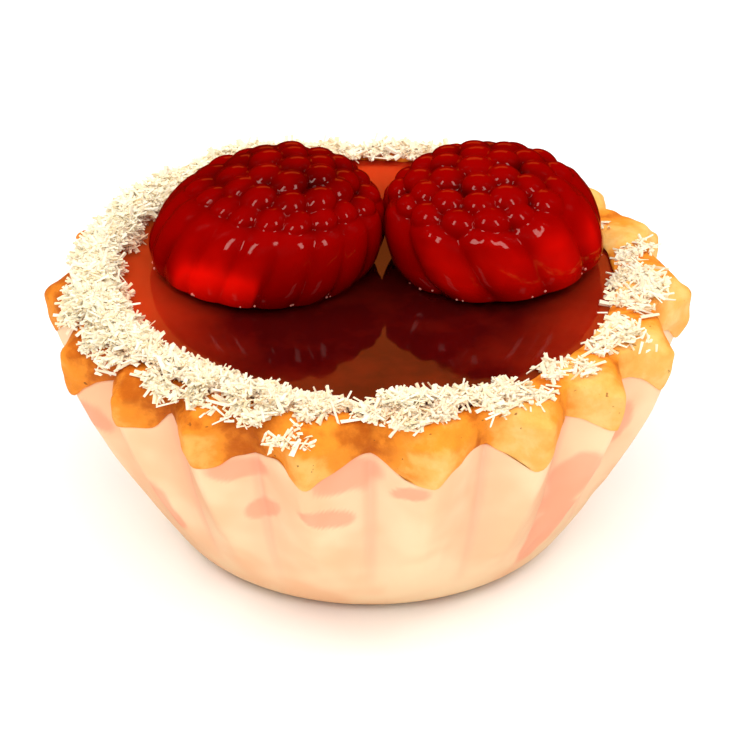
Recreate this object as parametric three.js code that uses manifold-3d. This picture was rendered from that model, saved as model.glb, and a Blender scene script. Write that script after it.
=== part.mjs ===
// A raspberry jelly tartlet in its fluted paper case.
//
// Units are millimetres and +Z is up. The origin is the middle of the flat bottom that the
// tartlet stands on, and its front faces -Y. Angles run round +Z from +X, in radians.
// Every round piece is a lathe whose outline changes on the way round, so that the flutes of
// the pastry and the pleats of the paper follow each other with one even gap between them.
// "flutes" is always a place on the way round, counted in flutes: whole numbers are crests.

import * as THREE from 'three';
import { mergeVertices } from 'three/addons/utils/BufferGeometryUtils.js';
import Module from 'manifold-3d';

const TURN = 2 * Math.PI;
const GAP = 0.3; // clearance between neighbouring pieces

// ---- Flutes, shared by the pastry and the paper ----
const FLUTES = 18;
const STEPS_PER_FLUTE = 5;
const FLUTE_DEPTH = 4.0; // crest to valley at the rim
const FLUTE_WANDER = 0.045; // uneven spacing, in radians
const FLUTE_SOFTNESS = 0.5; // 0 gives straight flanks with sharp crests, 1 rounds them off
const FLUTES_START = 3; // height where the flutes begin
const FLUTES_FULL = 25; // height where they reach their full depth

// ---- Paper case ----
const PAPER_THICKNESS = 0.4;
const BOTTOM_RADIUS = 17; // flat part of the bottom
const CORNER_MIDDLE = new THREE.Vector2(20.3, 0.75); // on the rounded lower edge
const CORNER_RADIUS = 22.6; // where the rounded lower edge turns into the wall
const CORNER_HEIGHT = 2.5;
const WALL_BELLY = new THREE.Vector2(33.9, 18.9); // the wall bows out towards this point
const WALL_TOP = new THREE.Vector2(35.6, 27.9);
const WALL_STEPS = 3;
const PAPER_EDGE_AT_VALLEY = 26.6;
const PAPER_EDGE_AT_CREST = 22.7;

// ---- Pastry shell and the coconut heaped on its rim ----
const LIP_AT_CREST = 0.8; // how far the teeth stand out over the paper's edge
const LIP_AT_VALLEY = 0.1;
const LIP_ROUNDING_AT_CREST = 0.6;
const LIP_ROUNDING_AT_VALLEY = 0.1;
const SHOULDER_HEIGHT = 27.7; // outer corner of the rim
const RIM_HEIGHT = 29.4;
const RIM_RADIUS_AT_CREST = 33.2; // inner end of the rim's outer slope
const RIM_RADIUS_AT_VALLEY = 31.2;
const HEAP_HEIGHT = 30.7; // top of the coconut ring
const HEAP_OUTER_RADIUS = 30.6; // its top lies between these two
const HEAP_TOP_INSET = 1.3; // ... and this far from its foot on the side of the jelly
const HEAP_INNER_RADIUS = 26.2;
const HEAP_ROUGHNESS = 0.3;
const CAVITY_RADIUS = 29.2;
const CAVITY_SLOPE = 1.6; // how much narrower the cavity is at its floor

// ---- Jelly filling ----
const JELLY_LEVEL = 28.8;
const JELLY_DEPTH = 5;

// ---- Moulded jelly raspberries ----
// "lean" tips a berry sideways, towards +X when positive.
const BERRIES = [
  { name: 'raspberry_left', x: -11.2, y: 6.2, radius: 12.8, height: 12.2, turn: 0.35, lean: 0.05 },
  { name: 'raspberry_right', x: 13.8, y: 6.6, radius: 12.0, height: 12.0, turn: 0.1, lean: -0.06 },
];
const CORE_SHARE = 0.84; // the core that carries the drupelets, as a share of the berry
const CORE_SIDES = 14;
const CORE_BANDS = 4;
const DRUPELET_SIDES = 6;
const DRUPELET_BANDS = 4;
const COLUMNS = 14; // long drupelets that stand round the base
const COLUMN_HEIGHT = 0.63; // as a share of the berry's height
const COLUMN_LEAN = 0.2; // inward, in radians
const DRUPELET_ROWS = [
  // "tilt" is the angle from the berry's axis, "size" a share of its radius.
  { tilt: 0.76, count: 13, size: 0.19 },
  { tilt: 0.42, count: 8, size: 0.18 },
  { tilt: 0.13, count: 3, size: 0.17 },
];

// ---- Coconut shreds ----
const SHREDS = 92;
const SHRED_LENGTH = [2.0, 4.6];
const SHRED_WIDTH = [0.5, 0.85];
const SHRED_TILT = 0.55;
const SHRED_LIFT = 0.1; // its middle lies this far over the surface
const SHRED_INNER_RADIUS = 26.9;
const SHRED_OUTER_RADIUS = 32.3;
const THICK_SIDE = 2.6; // the coconut lies thickest round this angle, at the back left
const THIN_SHARE = 0.3; // how much of it is missing on the other side
// Two small clumps have slipped down onto teeth, at the front left.
const CLUMPS = [
  { flutes: -5.1, radius: 33.6 },
  { flutes: -7.0, radius: 33.4 },
];
const SHREDS_PER_CLUMP = 6;
const CLUMP_SPREAD = 1.5;

const wasm = await Module();
wasm.setup();

// ---- Small helpers ----

function mix(from, to, share) {
  return from + (to - from) * share;
}

function seededRandom(seed) {
  let state = seed;
  return () => {
    state = (state * 1664525 + 1013904223) % 4294967296;
    return state / 4294967296;
  };
}

// One closed surface: shared corners are joined, and triangles without area are dropped.
function welded(geometry) {
  const bare = geometry.clone();
  bare.deleteAttribute('normal');
  bare.deleteAttribute('uv');
  const joined = mergeVertices(bare, 1e-4);
  const corners = joined.index.array;
  const kept = [];
  for (let at = 0; at < corners.length; at += 3) {
    const [a, b, c] = corners.slice(at, at + 3);
    if (a !== b && b !== c && c !== a) kept.push(a, b, c);
  }
  joined.setIndex(kept);
  return joined;
}

function toSolid(geometry) {
  const closed = welded(geometry);
  const surface = new wasm.Mesh({
    numProp: 3,
    vertProperties: Float32Array.from(closed.attributes.position.array),
    triVerts: Uint32Array.from(closed.index.array),
  });
  return new wasm.Manifold(surface);
}

function toGeometry(solid) {
  const surface = solid.getMesh();
  const geometry = new THREE.BufferGeometry();
  geometry.setAttribute('position', new THREE.BufferAttribute(surface.vertProperties, 3));
  geometry.setIndex(Array.from(surface.triVerts));
  return geometry;
}

function larger(one, other) {
  return one.volume() > other.volume() ? one : other;
}

// Joins the pieces into one body. Hollows that the joining seals are filled, and scraps that
// touch nothing are dropped, because only the outermost surface is kept.
function fused(geometries) {
  const solids = geometries.map(toSolid);
  const joined = solids.reduce((whole, piece) => whole.add(piece));
  return joined.decompose().reduce(larger);
}

// ---- Flutes ----

// The crests are unevenly spaced: the angle of a place on the way round.
function angleAt(flutes) {
  const even = (flutes / FLUTES) * TURN;
  return even + FLUTE_WANDER * Math.sin(4 * even);
}

// 1 on the crest of a flute and 0 in the valley.
function crest(flutes) {
  const rise = Math.abs(2 * (flutes - Math.floor(flutes)) - 1);
  return mix(rise, THREE.MathUtils.smoothstep(rise, 0, 1), FLUTE_SOFTNESS);
}

// A lathe whose outline, from the axis at the bottom to the axis at the top, changes on the
// way round. Its panels are split along the same diagonal where the outline rises and where
// it falls, so that two surfaces that face each other keep an even gap.
function turned(outlineAt) {
  const steps = FLUTES * STEPS_PER_FLUTE;
  const pointCount = outlineAt(0).length;
  const geometry = new THREE.LatheGeometry(outlineAt(0), steps);
  const position = geometry.attributes.position;
  const panels = [];
  for (let step = 0; step <= steps; step++) {
    const flutes = (step % steps) / STEPS_PER_FLUTE;
    const angle = angleAt(flutes);
    const outline = outlineAt(flutes);
    outline.forEach((point, index) => {
      const here = step * pointCount + index;
      position.setXYZ(here, point.x * Math.cos(angle), point.x * Math.sin(angle), point.y);
      if (step === steps || index === pointCount - 1) return;
      const [beside, above, across] = [here + pointCount, here + 1, here + pointCount + 1];
      const rises = outline[index + 1].y > point.y;
      if (rises) panels.push(here, beside, above, across, above, beside);
      else panels.push(here, beside, across, here, across, above);
    });
  }
  geometry.setIndex(panels);
  return welded(geometry);
}

// ---- The wall that the paper and the pastry share ----

// The wall's radius over the crests: a curve through the corner, the belly and the top.
function wallRadius(height) {
  const a = CORNER_HEIGHT - 2 * WALL_BELLY.y + WALL_TOP.y;
  const b = 2 * (WALL_BELLY.y - CORNER_HEIGHT);
  const c = CORNER_HEIGHT - height;
  const along = (-b + Math.sqrt(b * b - 4 * a * c)) / (2 * a);
  const left = 1 - along;
  return left * left * CORNER_RADIUS + 2 * along * left * WALL_BELLY.x + along * along * WALL_TOP.x;
}

function paperRadius(flutes, height) {
  const depth = FLUTE_DEPTH * THREE.MathUtils.smoothstep(height, FLUTES_START, FLUTES_FULL);
  return wallRadius(height) - depth * (1 - crest(flutes));
}

function paperEdge(flutes) {
  return mix(PAPER_EDGE_AT_VALLEY, PAPER_EDGE_AT_CREST, crest(flutes));
}

// The flat bottom, the rounded corner and the wall up to "top", set in by "inset".
function lowerOutline(flutes, inset, top) {
  const points = [
    new THREE.Vector2(0, inset),
    new THREE.Vector2(BOTTOM_RADIUS, inset),
    new THREE.Vector2(CORNER_MIDDLE.x - inset / 2, CORNER_MIDDLE.y + inset),
  ];
  for (let step = 0; step <= WALL_STEPS; step++) {
    const height = mix(CORNER_HEIGHT, paperEdge(flutes), step / WALL_STEPS);
    points.push(new THREE.Vector2(paperRadius(flutes, height) - inset, height));
  }
  points[points.length - 1].y = top;
  return points;
}

// ---- Paper case ----

function paperOutline(flutes) {
  const edge = paperEdge(flutes);
  const outside = lowerOutline(flutes, 0, edge);
  const inside = lowerOutline(flutes, PAPER_THICKNESS, edge);
  return [...outside, ...inside.reverse()];
}

// ---- Berries ----

// How far from the axis a neighbour must stay, at this angle, to clear every berry.
function berryReach(angle) {
  const reaches = BERRIES.map((berry) => {
    const along = berry.x * Math.cos(angle) + berry.y * Math.sin(angle);
    const room = berry.radius + GAP;
    const inside = along * along - berry.x * berry.x - berry.y * berry.y + room * room;
    return inside > 0 ? along + Math.sqrt(inside) : 0;
  });
  return Math.max(...reaches);
}

function placedBall(size, place) {
  const ball = new THREE.SphereGeometry(1, DRUPELET_SIDES, DRUPELET_BANDS);
  ball.rotateX(TURN / 4);
  ball.scale(size.x, size.y, size.z);
  ball.applyMatrix4(place);
  return ball;
}

function drupelet(berry, row, index) {
  const size = row.size * berry.radius;
  const turn = berry.turn + ((index + row.tilt) / row.count) * TURN;
  const reach = (berry.radius - 0.75 * size) * Math.sin(row.tilt);
  const rise = (berry.height - 0.85 * size) * Math.cos(row.tilt);
  const place = new THREE.Matrix4().makeRotationZ(turn);
  place.multiply(new THREE.Matrix4().makeTranslation(reach, 0, rise));
  return placedBall(new THREE.Vector3(size, size, size), place);
}

// A long drupelet that stands on the base and leans in with the dome.
function column(berry, index) {
  const turn = berry.turn + (index / COLUMNS) * TURN;
  const width = 0.53 * berry.radius * (TURN / COLUMNS);
  const height = COLUMN_HEIGHT * berry.height;
  const place = new THREE.Matrix4().makeRotationZ(turn);
  place.multiply(new THREE.Matrix4().makeTranslation(berry.radius - 0.9 * width, 0, 0.18 * height));
  place.multiply(new THREE.Matrix4().makeRotationY(-COLUMN_LEAN));
  return placedBall(new THREE.Vector3(0.9 * width, width, 0.85 * height), place);
}

function berryCore(berry) {
  const radius = CORE_SHARE * berry.radius;
  const arc = new THREE.Path();
  arc.moveTo(0, 0);
  arc.lineTo(radius, 0);
  arc.absellipse(0, 0, radius, CORE_SHARE * berry.height, 0, TURN / 4, false, 0);
  const outline = arc.getPoints(CORE_BANDS);
  outline[outline.length - 1].x = 0;
  const core = new THREE.LatheGeometry(outline, CORE_SIDES);
  core.rotateX(TURN / 4);
  return core;
}

function berryGeometry(berry) {
  const pieces = [berryCore(berry)];
  for (let index = 0; index < COLUMNS; index++) pieces.push(column(berry, index));
  for (const row of DRUPELET_ROWS) {
    for (let index = 0; index < row.count; index++) pieces.push(drupelet(berry, row, index));
  }
  const below = new THREE.BoxGeometry(4 * berry.radius, 4 * berry.radius, berry.radius);
  below.translate(0, 0, -berry.radius / 2);
  const geometry = toGeometry(fused(pieces).subtract(toSolid(below)));
  const lift = berry.radius * Math.sin(Math.abs(berry.lean));
  geometry.rotateY(berry.lean);
  geometry.translate(berry.x, berry.y, JELLY_LEVEL + GAP + lift);
  return geometry;
}

// ---- Jelly filling ----

function jellyOutline() {
  const radius = CAVITY_RADIUS - GAP;
  const floor = JELLY_LEVEL - JELLY_DEPTH;
  return [
    new THREE.Vector2(0, floor),
    new THREE.Vector2(radius - CAVITY_SLOPE, floor),
    new THREE.Vector2(radius, JELLY_LEVEL),
    new THREE.Vector2(0, JELLY_LEVEL),
  ];
}

// ---- Pastry shell ----

function heapHeight(angle) {
  const bumps = Math.sin(23 * angle) + Math.sin(37 * angle + 1) + Math.sin(11 * angle + 2);
  return HEAP_HEIGHT + (HEAP_ROUGHNESS * bumps) / 2;
}

function toothOutline(flutes) {
  const tooth = crest(flutes);
  const edge = paperEdge(flutes);
  const face = paperRadius(flutes, edge) + mix(LIP_AT_VALLEY, LIP_AT_CREST, tooth);
  const rounding = mix(LIP_ROUNDING_AT_VALLEY, LIP_ROUNDING_AT_CREST, tooth);
  const shoulder = Math.max(face, paperRadius(flutes, SHOULDER_HEIGHT));
  return [
    new THREE.Vector2(face, edge + GAP + rounding),
    new THREE.Vector2(shoulder, SHOULDER_HEIGHT),
    new THREE.Vector2(mix(RIM_RADIUS_AT_VALLEY, RIM_RADIUS_AT_CREST, tooth), RIM_HEIGHT),
  ];
}

// The coconut leans in over the jelly, and stops short of the berries.
function heapOutline(flutes) {
  const angle = angleAt(flutes);
  const foot = Math.min(CAVITY_RADIUS - GAP, Math.max(HEAP_INNER_RADIUS, berryReach(angle)));
  return [
    new THREE.Vector2(HEAP_OUTER_RADIUS, heapHeight(angle)),
    new THREE.Vector2(foot + HEAP_TOP_INSET, heapHeight(angle + 1)),
    new THREE.Vector2(foot, JELLY_LEVEL + 2 * GAP),
  ];
}

function pastryOutline(flutes) {
  const floor = JELLY_LEVEL - JELLY_DEPTH - GAP;
  return [
    ...lowerOutline(flutes, PAPER_THICKNESS + GAP, paperEdge(flutes) + GAP),
    ...toothOutline(flutes),
    ...heapOutline(flutes),
    new THREE.Vector2(CAVITY_RADIUS, JELLY_LEVEL + GAP),
    new THREE.Vector2(CAVITY_RADIUS - CAVITY_SLOPE, floor),
    new THREE.Vector2(0, floor),
  ];
}

// The height of the rim and its coconut at a distance from the axis.
function toppingHeight(flutes, radius) {
  const slope = [...toothOutline(flutes).slice(1), ...heapOutline(flutes)].reverse();
  for (let index = 1; index < slope.length; index++) {
    const [inner, outer] = [slope[index - 1], slope[index]];
    if (radius > outer.x) continue;
    const share = THREE.MathUtils.clamp((radius - inner.x) / (outer.x - inner.x), 0, 1);
    return mix(inner.y, outer.y, share);
  }
  return SHOULDER_HEIGHT;
}

// ---- Coconut shreds ----

function shred(flutes, radius, random) {
  const length = mix(...SHRED_LENGTH, random());
  const width = mix(...SHRED_WIDTH, random());
  const angle = angleAt(flutes);
  const strip = new THREE.CylinderGeometry(width / 2, width / 2, length, 3);
  strip.rotateZ(TURN / 4);
  strip.rotateY(SHRED_TILT * (2 * random() - 1));
  strip.rotateZ(TURN * random());
  const height = toppingHeight(flutes, radius) + SHRED_LIFT;
  strip.translate(radius * Math.cos(angle), radius * Math.sin(angle), height);
  const position = strip.attributes.position;
  for (let corner = 0; corner < position.count; corner++) {
    const overJelly = Math.hypot(position.getX(corner), position.getY(corner)) < CAVITY_RADIUS + 1;
    const lowest = (overJelly ? JELLY_LEVEL : PAPER_EDGE_AT_VALLEY) + GAP;
    position.setZ(corner, Math.max(position.getZ(corner), lowest));
  }
  return strip;
}

function clearOfBerries(strip) {
  const position = strip.attributes.position;
  for (let corner = 0; corner < position.count; corner++) {
    for (const berry of BERRIES) {
      const away = Math.hypot(position.getX(corner) - berry.x, position.getY(corner) - berry.y);
      if (away < berry.radius + 2 * GAP) return false;
    }
  }
  return true;
}

function coconut() {
  const random = seededRandom(7);
  const strips = [];
  while (strips.length < SHREDS) {
    const flutes = FLUTES * random();
    const cover = 1 - THIN_SHARE * (1 - Math.cos(angleAt(flutes) - THICK_SIDE));
    if (random() > cover) continue;
    const radius = mix(SHRED_INNER_RADIUS, SHRED_OUTER_RADIUS, random());
    const strip = shred(flutes, radius, random);
    if (clearOfBerries(strip)) strips.push(strip);
  }
  for (const clump of CLUMPS) {
    for (let index = 0; index < SHREDS_PER_CLUMP; index++) {
      const radius = clump.radius + CLUMP_SPREAD * (random() - 0.5);
      const flutes = clump.flutes + (CLUMP_SPREAD * (random() - 0.5) * FLUTES) / (TURN * radius);
      strips.push(shred(flutes, radius, random));
    }
  }
  return strips;
}

function pastryGeometry() {
  return toGeometry(fused([turned(pastryOutline), ...coconut()]));
}

// ---- The tartlet ----

function piece(name, geometry, color, roughness) {
  const material = new THREE.MeshStandardMaterial({ color, roughness, metalness: 0 });
  const mesh = new THREE.Mesh(geometry, material);
  mesh.name = name;
  return mesh;
}

const tartlet = new THREE.Group();
tartlet.add(piece('paper_case', turned(paperOutline), 0xfbd9ae, 0.85));
tartlet.add(piece('pastry_shell', pastryGeometry(), 0xf0a04a, 0.8));
tartlet.add(piece('jelly_filling', turned(jellyOutline), 0x8c1a0c, 0.1));
for (const berry of BERRIES) tartlet.add(piece(berry.name, berryGeometry(berry), 0xa00808, 0.15));

export default tartlet;
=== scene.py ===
# A raspberry jelly tartlet in its fluted paper case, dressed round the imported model.
#
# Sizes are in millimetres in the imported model's frame, and every mesh is made in metres.
# "flutes" is a place on the way round, counted in flutes: whole numbers are crests.
# "bearing" is an angle in degrees from the front, growing towards +X.

import math

import bpy
import numpy as np
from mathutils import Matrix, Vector


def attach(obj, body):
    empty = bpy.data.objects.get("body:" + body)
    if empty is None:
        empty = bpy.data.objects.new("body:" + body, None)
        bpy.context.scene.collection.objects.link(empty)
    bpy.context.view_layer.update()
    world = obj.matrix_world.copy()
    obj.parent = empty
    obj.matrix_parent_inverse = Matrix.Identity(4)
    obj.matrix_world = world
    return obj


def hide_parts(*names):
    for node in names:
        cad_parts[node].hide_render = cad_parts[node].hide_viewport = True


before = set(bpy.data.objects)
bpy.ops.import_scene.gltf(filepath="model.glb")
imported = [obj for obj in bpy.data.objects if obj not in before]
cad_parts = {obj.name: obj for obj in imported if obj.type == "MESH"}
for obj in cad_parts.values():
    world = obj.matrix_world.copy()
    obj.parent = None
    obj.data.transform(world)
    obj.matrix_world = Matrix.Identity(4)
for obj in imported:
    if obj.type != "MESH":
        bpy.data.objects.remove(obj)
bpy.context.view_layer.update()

MM = 0.001
TURN = 2 * math.pi

# ---- Flutes, with the number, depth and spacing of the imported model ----
FLUTES = 18
FLUTE_STEPS = 36  # columns of the mesh in each flute
FLUTE_DEPTH = 4.0
FLUTE_WANDER = 0.045
FLUTES_START = 3
FLUTES_FULL = 25
RIGHT_SQUEEZE = 0.8  # the rim is a little less round on its right
CREST_SHARPNESS = 0.35  # 0 gives straight flanks, 1 hollows them out towards the crest
CREST_ROUNDING = 0.10
EDGE_ROUNDNESS = 1.7  # above 1 the paper's edge is broad and round between narrow teeth
EDGE_UNEVENNESS = 0.55
# The paper's edge along the front, where each tooth differs: a place in flutes and the height.
FRONT_EDGE = [
    (-7.35, 25.4), (-7.12, 24.2), (-6.72, 24.1), (-6.50, 26.6), (-6.28, 25.7), (-6.05, 22.9),
    (-5.86, 22.6), (-5.68, 24.0), (-5.48, 24.4), (-5.20, 25.4), (-4.99, 22.4), (-4.84, 24.2),
    (-4.60, 26.2), (-4.40, 25.8), (-4.27, 23.3), (-4.18, 22.8), (-3.97, 23.2), (-3.88, 25.0),
    (-3.62, 26.3), (-3.33, 24.2), (-3.06, 21.7), (-2.92, 24.2), (-2.65, 26.2), (-2.32, 25.2),
    (-2.02, 23.3), (-1.85, 24.4),
]

# ---- Paper case ----
PAPER_THICKNESS = 0.2
BOTTOM_RADIUS = 17
CORNER_RADIUS = 22.6
CORNER_HEIGHT = 2.5
WALL_BELLY = (33.9, 18.9)
WALL_TOP = (35.6, 27.9)
PAPER_EDGE_AT_VALLEY = 26.2
PAPER_EDGE_AT_CREST = 22.7
PAPER_BOTTOM_ROWS = 6
PAPER_CORNER_ROWS = 8
PAPER_WALL_ROWS = 52
PAPER_CRUMPLE = 0.22
PRINT_STRENGTH = 0.62
# Printed blotches: bearing, height, width, tallness, slant.
BLOTCHES = [
    (-66, 19.5, 4.5, 4, 0.0),
    (-50, 12, 4, 8, 0.5),
    (-25, 22.2, 7.5, 3.4, 0.1),
    (-22, 16.8, 4.5, 3, 0.35),
    (-9, 17.6, 6, 2.8, -0.2),
    (-4, 23.2, 7, 5, 0.2),
    (7, 21.2, 4, 2, 0.4),
    (46, 16, 6, 8, 0.3),
    (45, 9, 7, 8, 0.9),
    (58, 13.8, 3.4, 2.6, 0.2),
    (62, 19.5, 1.8, 5, 0.0),
]
BLOTCHES += [(bearing, 10 + 11 * math.sin(bearing) ** 2, 6, 4, 0.3) for bearing in range(80, 285, 19)]

# ---- Pastry ----
PASTRY_INSET = 0.5  # inside the paper's outer face
LIP_GAP = 0.06  # between the paper's edge and the pastry over it
LIP_OVERLAP = 0.15  # how far the teeth hang down over the paper's edge
LIP_THICKNESS = 0.22  # the teeth's lower edge stands out this far from the paper
BULGE_AT_CREST = 0.55
BULGE_AT_VALLEY = 0.2
BULGE_UNEVENNESS = 0.3
SHOULDER_HEIGHT = 27.7
RIM_HEIGHT = 29.4
RIM_RADIUS_AT_CREST = 33.2
RIM_RADIUS_AT_VALLEY = 31.2
CROWN_RADIUS = 30.4
CROWN_HEIGHT = 29.9
CAVITY_RADIUS = 29.2
CAVITY_SLOPE = 1.6
LEDGE_REACH = 2.6  # on the right the rim reaches this far in over the jelly

# ---- Jelly ----
JELLY_LEVEL = 28.8
JELLY_DEPTH = 5
MENISCUS = 0.35  # how far the jelly climbs the crust at its edge
# Painted light in the jelly, growing towards its edge, at bearings all round: most on the left and at
# the back, least along the front.
JELLY_PAINTED_EDGE_LIGHT = [
    (-180, 0.9), (-100, 1.0), (-76, 1.0), (-67, 0.72), (-50, 0.25), (-35, 0.08), (35, 0.08), (52, 0.4),
    (80, 0.6), (120, 0.6), (180, 0.9),
]

# ---- Berries ----
# A row of drupelets is its angle from the berry's axis, in radians, and how many it has.
# "column_head" is that angle for the drupelets that head the long ones on the base, and "head_size"
# their share of the usual size. The long ones begin "column_start" under their heads, and slant by
# "column_twist" on their way down on the front left. "groove_shade" and "top_shade" are how much
# painted shade darkens the grooves and the top.
# A patch is painted glow, as if lit from within: two bearings, how high it reaches, and how strong it
# is; a patch of negative strength is painted shade.
LEFT_BERRY = {
    "name": "berry_left",
    "node": "raspberry_left",
    "centre": (-12.25, 5.0),
    "radius": 12.65,
    "height": 12.6,
    "fullness": 0.99,
    "rows": ((0.0, 1), (0.29, 6), (0.56, 12)),
    "columns": 18,
    "first_column": 10,
    "column_head": 0.82,
    "head_size": 0.87,
    "head_unevenness": 0.05,
    "column_start": 0.2,
    "column_share": 0.60,
    "column_relief": 1.0,
    "column_twist": 0.0,
    "tilt": 0.05,
    "tilt_bearing": 90,
    "sway": 0.30,
    "groove_shade": 0.3,
    "top_shade": 0.13,
    "patches": ((-46, -4, 3.0, 1.0), (-54, -2, 6.5, 0.14), (-40, 20, 9.5, 0.05)),
    "seed": 3,
}
RIGHT_BERRY = {
    "name": "berry_right",
    "node": "raspberry_right",
    "centre": (14.15, 5.4),
    "radius": 12.1,
    "height": 11.9,
    "fullness": 0.82,
    "rows": ((0.0, 1), (0.25, 6), (0.55, 12), (0.84, 15)),
    "columns": 10,
    "first_column": 1,
    "column_head": 1.08,
    "head_size": 0.8,
    "head_unevenness": 0.08,
    "column_start": 0.08,
    "column_share": 0.57,
    "column_relief": 1.8,
    "column_twist": 0.35,
    "tilt": 0.08,
    "tilt_bearing": -90,
    "sway": -0.18,
    "groove_shade": 0.42,
    "top_shade": 0.0,
    "patches": ((-44, 70, 6.5, 0.18), (-60, 100, 9.5, 0.10), (-75, -22, 2.4, -0.06)),
    "seed": 8,
}
BELLY_HEIGHT = 2.6  # the berry is widest at this height
BASE_TILT = 0.35  # how the part under the belly is counted, as if in radians
BASE_SHARE = 0.93  # the base's radius, as a share of the berry's
BERRY_BASE_ROWS = 5
BERRY_SIDES = 300
BERRY_ROWS = 150
DRUPELET_RADIUS = 2.35
DRUPELET_RELIEF = 1.95
USUAL_GLOW = 0.4  # painted light of a berry away from its patches: lower gives painted shade, higher painted glow
BEADS_PER_BERRY = 11
BEAD_RADIUS = (0.09, 0.2)  # the smallest and the largest

# ---- Coconut ----
CLUMPS = 600
SHREDS_PER_CLUMP = 38
CLUMP_SPREAD = (0.85, 0.5)  # where the coconut is thin, and where it is thick
PAINTED_SHADE_DEPTH = 1.5  # shreds this low in a thick pile get painted shade, a warm pinkish brown
SHREDS_CLEAR_OF_BERRIES = 0.8
# A shred's least size, and how much larger the largest are.
SHRED_LENGTH = (0.5, 2.4)
SHRED_WIDTH = (0.26, 0.4)
SHRED_THICKNESS = (0.16, 0.34)  # from the thinnest to the thickest
SHRED_PITCH = 0.42  # the spread of their slopes, in radians
SHRED_ROLL = 0.6
SHRED_TAPER = 0.7  # the far end's width, as a share of the near one's
# The ring of coconut at bearings all round: how thick it lies, from 0 to 1, and its two radii.
COCONUT_RING = [
    (-180, 0.05, 29, 31), (-172, 0.16, 29, 31), (-150, 0.8, 28, 31.5), (-115, 1.0, 27.9, 31.3),
    (-84, 1.0, 27.8, 31.8), (-73, 0.9, 27.6, 33.2), (-60, 0.65, 27.0, 32.6), (-50, 0.5, 26.8, 31.6),
    (-35, 0.5, 26.6, 32.6), (-14, 0.5, 26.6, 32.2),
    (-7, 0.3, 27.2, 31), (-3, 0.03, 28, 31), (1, 0.3, 27, 31), (6, 0.85, 26.2, 31.4),
    (13, 0.5, 26.6, 31.2), (22, 0.22, 27, 31), (30, 0.3, 27, 31), (38, 0.08, 27, 31),
    (46, 0.15, 27, 31.4), (55, 0.06, 27, 31), (68, 0.04, 27, 31), (80, 0.10, 27.4, 31.2),
    (95, 0.08, 27.4, 31.2), (110, 0.02, 27, 31), (135, 0.03, 28, 31), (155, 0.15, 28, 31),
    (168, 0.25, 29, 31), (180, 0.05, 29, 31),
]
# Small clumps that slipped down the rim: bearing, distance from the middle, spread, shreds.
STRAYS = [
    (-14, 34.6, 1.3, 46), (-13, 33.4, 0.4, 12), (-57, 33.4, 0.9, 14), (-33, 32.6, 1.6, 44),
    (-23, 32.6, 1.3, 34), (8, 32.2, 1.0, 22), (24, 32.4, 0.6, 14), (36, 31.4, 0.5, 6),
    (63, 32.6, 0.7, 8), (84, 32.0, 0.8, 8),
]

# ---- Studio ----
ROOM_LIGHT = 0.42
ROOM_REFLECTION = 0.03
WARM_REFLECTION = (1.0, 0.20, 0.03)
CAMERA_RISE = 29.5  # degrees over the horizon
CAMERA_DISTANCE = 0.45  # metres from the point that it looks at
CAMERA_TARGET = (0, 0, 0.018)
CAMERA_LENS = 199.5


# ---- Small helpers ----

def mix(start, end, share):
    return start + (end - start) * share


def smoothstep(value, start, end):
    share = np.clip((value - start) / (end - start), 0, 1)
    return share * share * (3 - 2 * share)


def value_noise(points, scale, seed):
    """Smooth random numbers from -1 to 1, with features about "scale" in size."""
    size = 48
    lattice = np.random.default_rng(seed).uniform(-1, 1, (size, size, size))
    place = np.asarray(points, float) / scale
    cell = np.floor(place).astype(int)
    share = place - cell
    share = share * share * (3 - 2 * share)
    total = np.zeros(place.shape[:-1])
    for corner in np.ndindex(2, 2, 2):
        weight = np.where(corner, share, 1 - share).prod(axis=-1)
        at = (cell + corner) % size
        total += weight * lattice[at[..., 0], at[..., 1], at[..., 2]]
    return total


def new_object(name, points, faces, material):
    mesh = bpy.data.meshes.new(name)
    mesh.from_pydata((np.asarray(points) * MM).tolist(), [], faces)
    mesh.validate()
    mesh.polygons.foreach_set("use_smooth", [True] * len(mesh.polygons))
    mesh.materials.append(material)
    piece = bpy.data.objects.new(name, mesh)
    bpy.context.scene.collection.objects.link(piece)
    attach(piece, "root")
    return piece


def add_attribute(piece, name, values):
    attribute = piece.data.attributes.new(name, "FLOAT", "POINT")
    attribute.data.foreach_set("value", np.asarray(values, np.float32).ravel())


def ring_faces(rows, columns):
    """Quads between rings of points, and a fan of triangles to a pole at each end.

    The points are the lower pole, the rings one after another, and the upper pole.
    """
    first = 1 + np.arange(rows - 1)[:, None] * columns
    here = np.arange(columns)[None, :]
    beside = (here + 1) % columns
    quads = np.stack(
        [first + here, first + beside, first + columns + beside, first + columns + here],
        axis=-1,
    )
    faces = quads.reshape(-1, 4).tolist()
    last = 1 + (rows - 1) * columns
    top = 1 + rows * columns
    for column in range(columns):
        following = (column + 1) % columns
        faces.append([0, 1 + following, 1 + column])
        faces.append([top, last + column, last + following])
    return faces


def closed_lathe(name, rings, material):
    """A closed body from rings of points, shaped (rows, columns, 3)."""
    rows, columns = rings.shape[:2]
    low_pole = rings[0].mean(axis=0)
    high_pole = rings[-1].mean(axis=0)
    points = np.vstack([low_pole, rings.reshape(-1, 3), high_pole])
    return new_object(name, points, ring_faces(rows, columns), material)


def with_poles(values):
    """The values of a closed lathe's rings, with one for each pole."""
    return np.concatenate([[values[0].mean()], values.ravel(), [values[-1].mean()]])


# ---- Flutes ----

def angle_at(flutes):
    even = flutes / FLUTES * TURN
    return even + FLUTE_WANDER * np.sin(4 * even)


def crest(flutes):
    """1 on the crest of a flute and 0 in the valley."""
    fall = 1 - np.abs(2 * (flutes - np.floor(flutes)) - 1)
    fall = np.sqrt(fall**2 + CREST_ROUNDING**2) - CREST_ROUNDING
    rise = 1 - fall / (math.sqrt(1 + CREST_ROUNDING**2) - CREST_ROUNDING)
    return mix(rise, rise * rise, CREST_SHARPNESS)


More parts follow.
